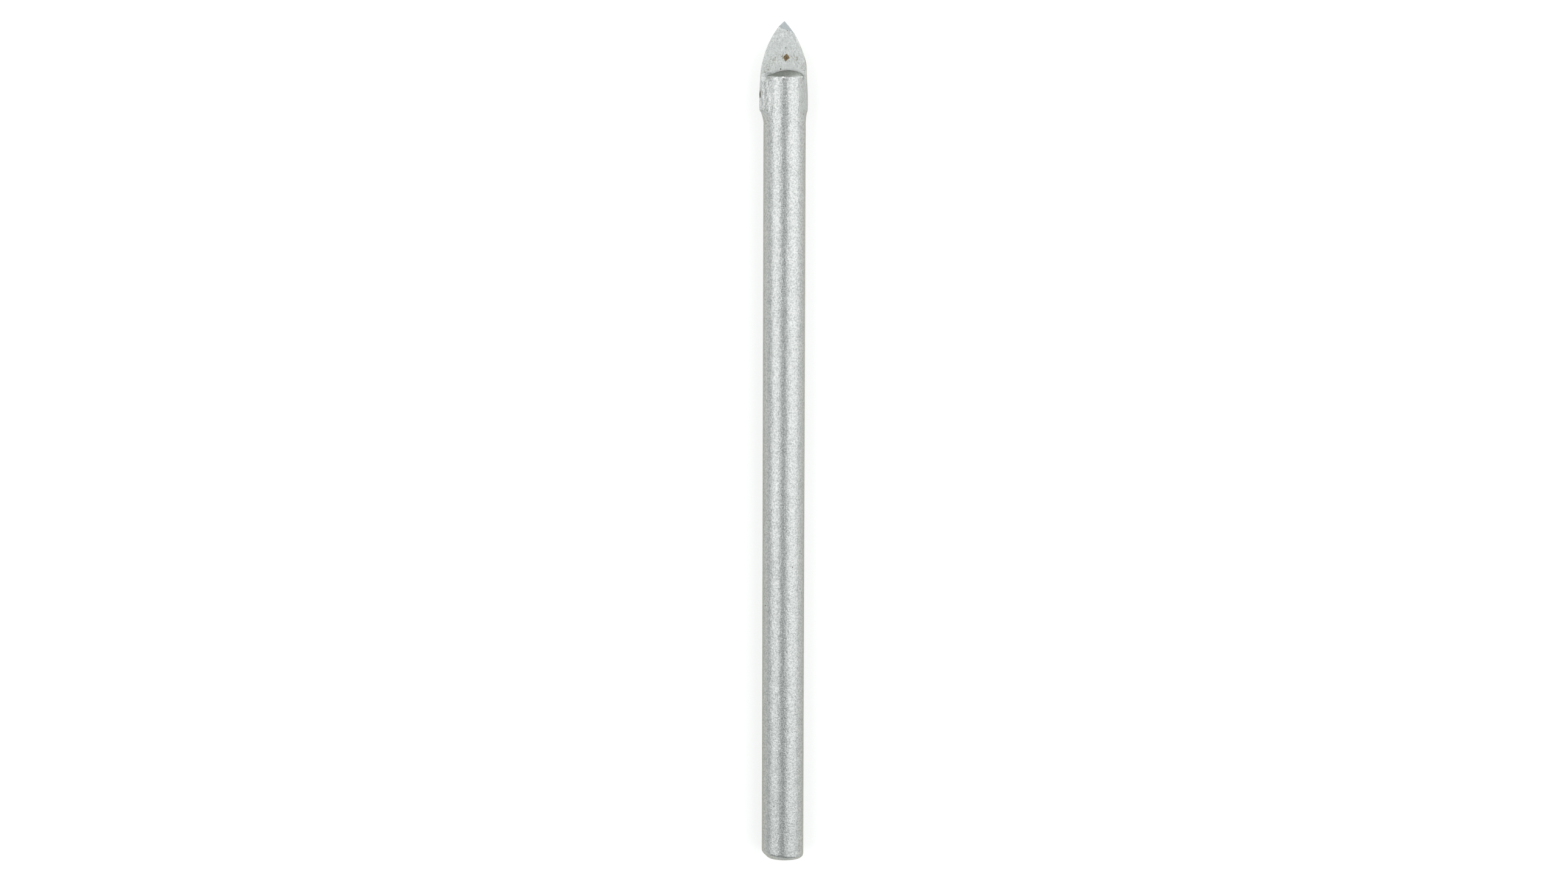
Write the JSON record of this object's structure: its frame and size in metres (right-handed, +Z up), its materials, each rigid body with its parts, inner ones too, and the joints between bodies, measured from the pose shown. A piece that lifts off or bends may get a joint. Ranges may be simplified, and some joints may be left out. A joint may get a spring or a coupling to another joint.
{
  "type": "glass and tile drill bit",
  "caption": "Slim round shank with a spear-point carbide plate brazed into its slotted end, for drilling glass and ceramic tile.",
  "frame": {"origin": "on the table under the middle of the bit's length, below the shank's axis", "axes": "+Y along the bit towards its point, +Z up out of the tip's broad face, +X to the right of the tip seen from above with the point away"},
  "size_m": [0.0048, 0.0834, 0.0042],
  "materials": {
    "shank": "sand-blasted steel with a satin silver plating",
    "carbide_tip": "cemented carbide under the same satin silver plating, bare where the point is ground",
    "braze": "rough silver-plated braze"
  },
  "bodies": {
    "root": {"shank": "shank", "carbide_tip": "carbide_tip", "braze": "braze"}
  },
  "joints": []
}
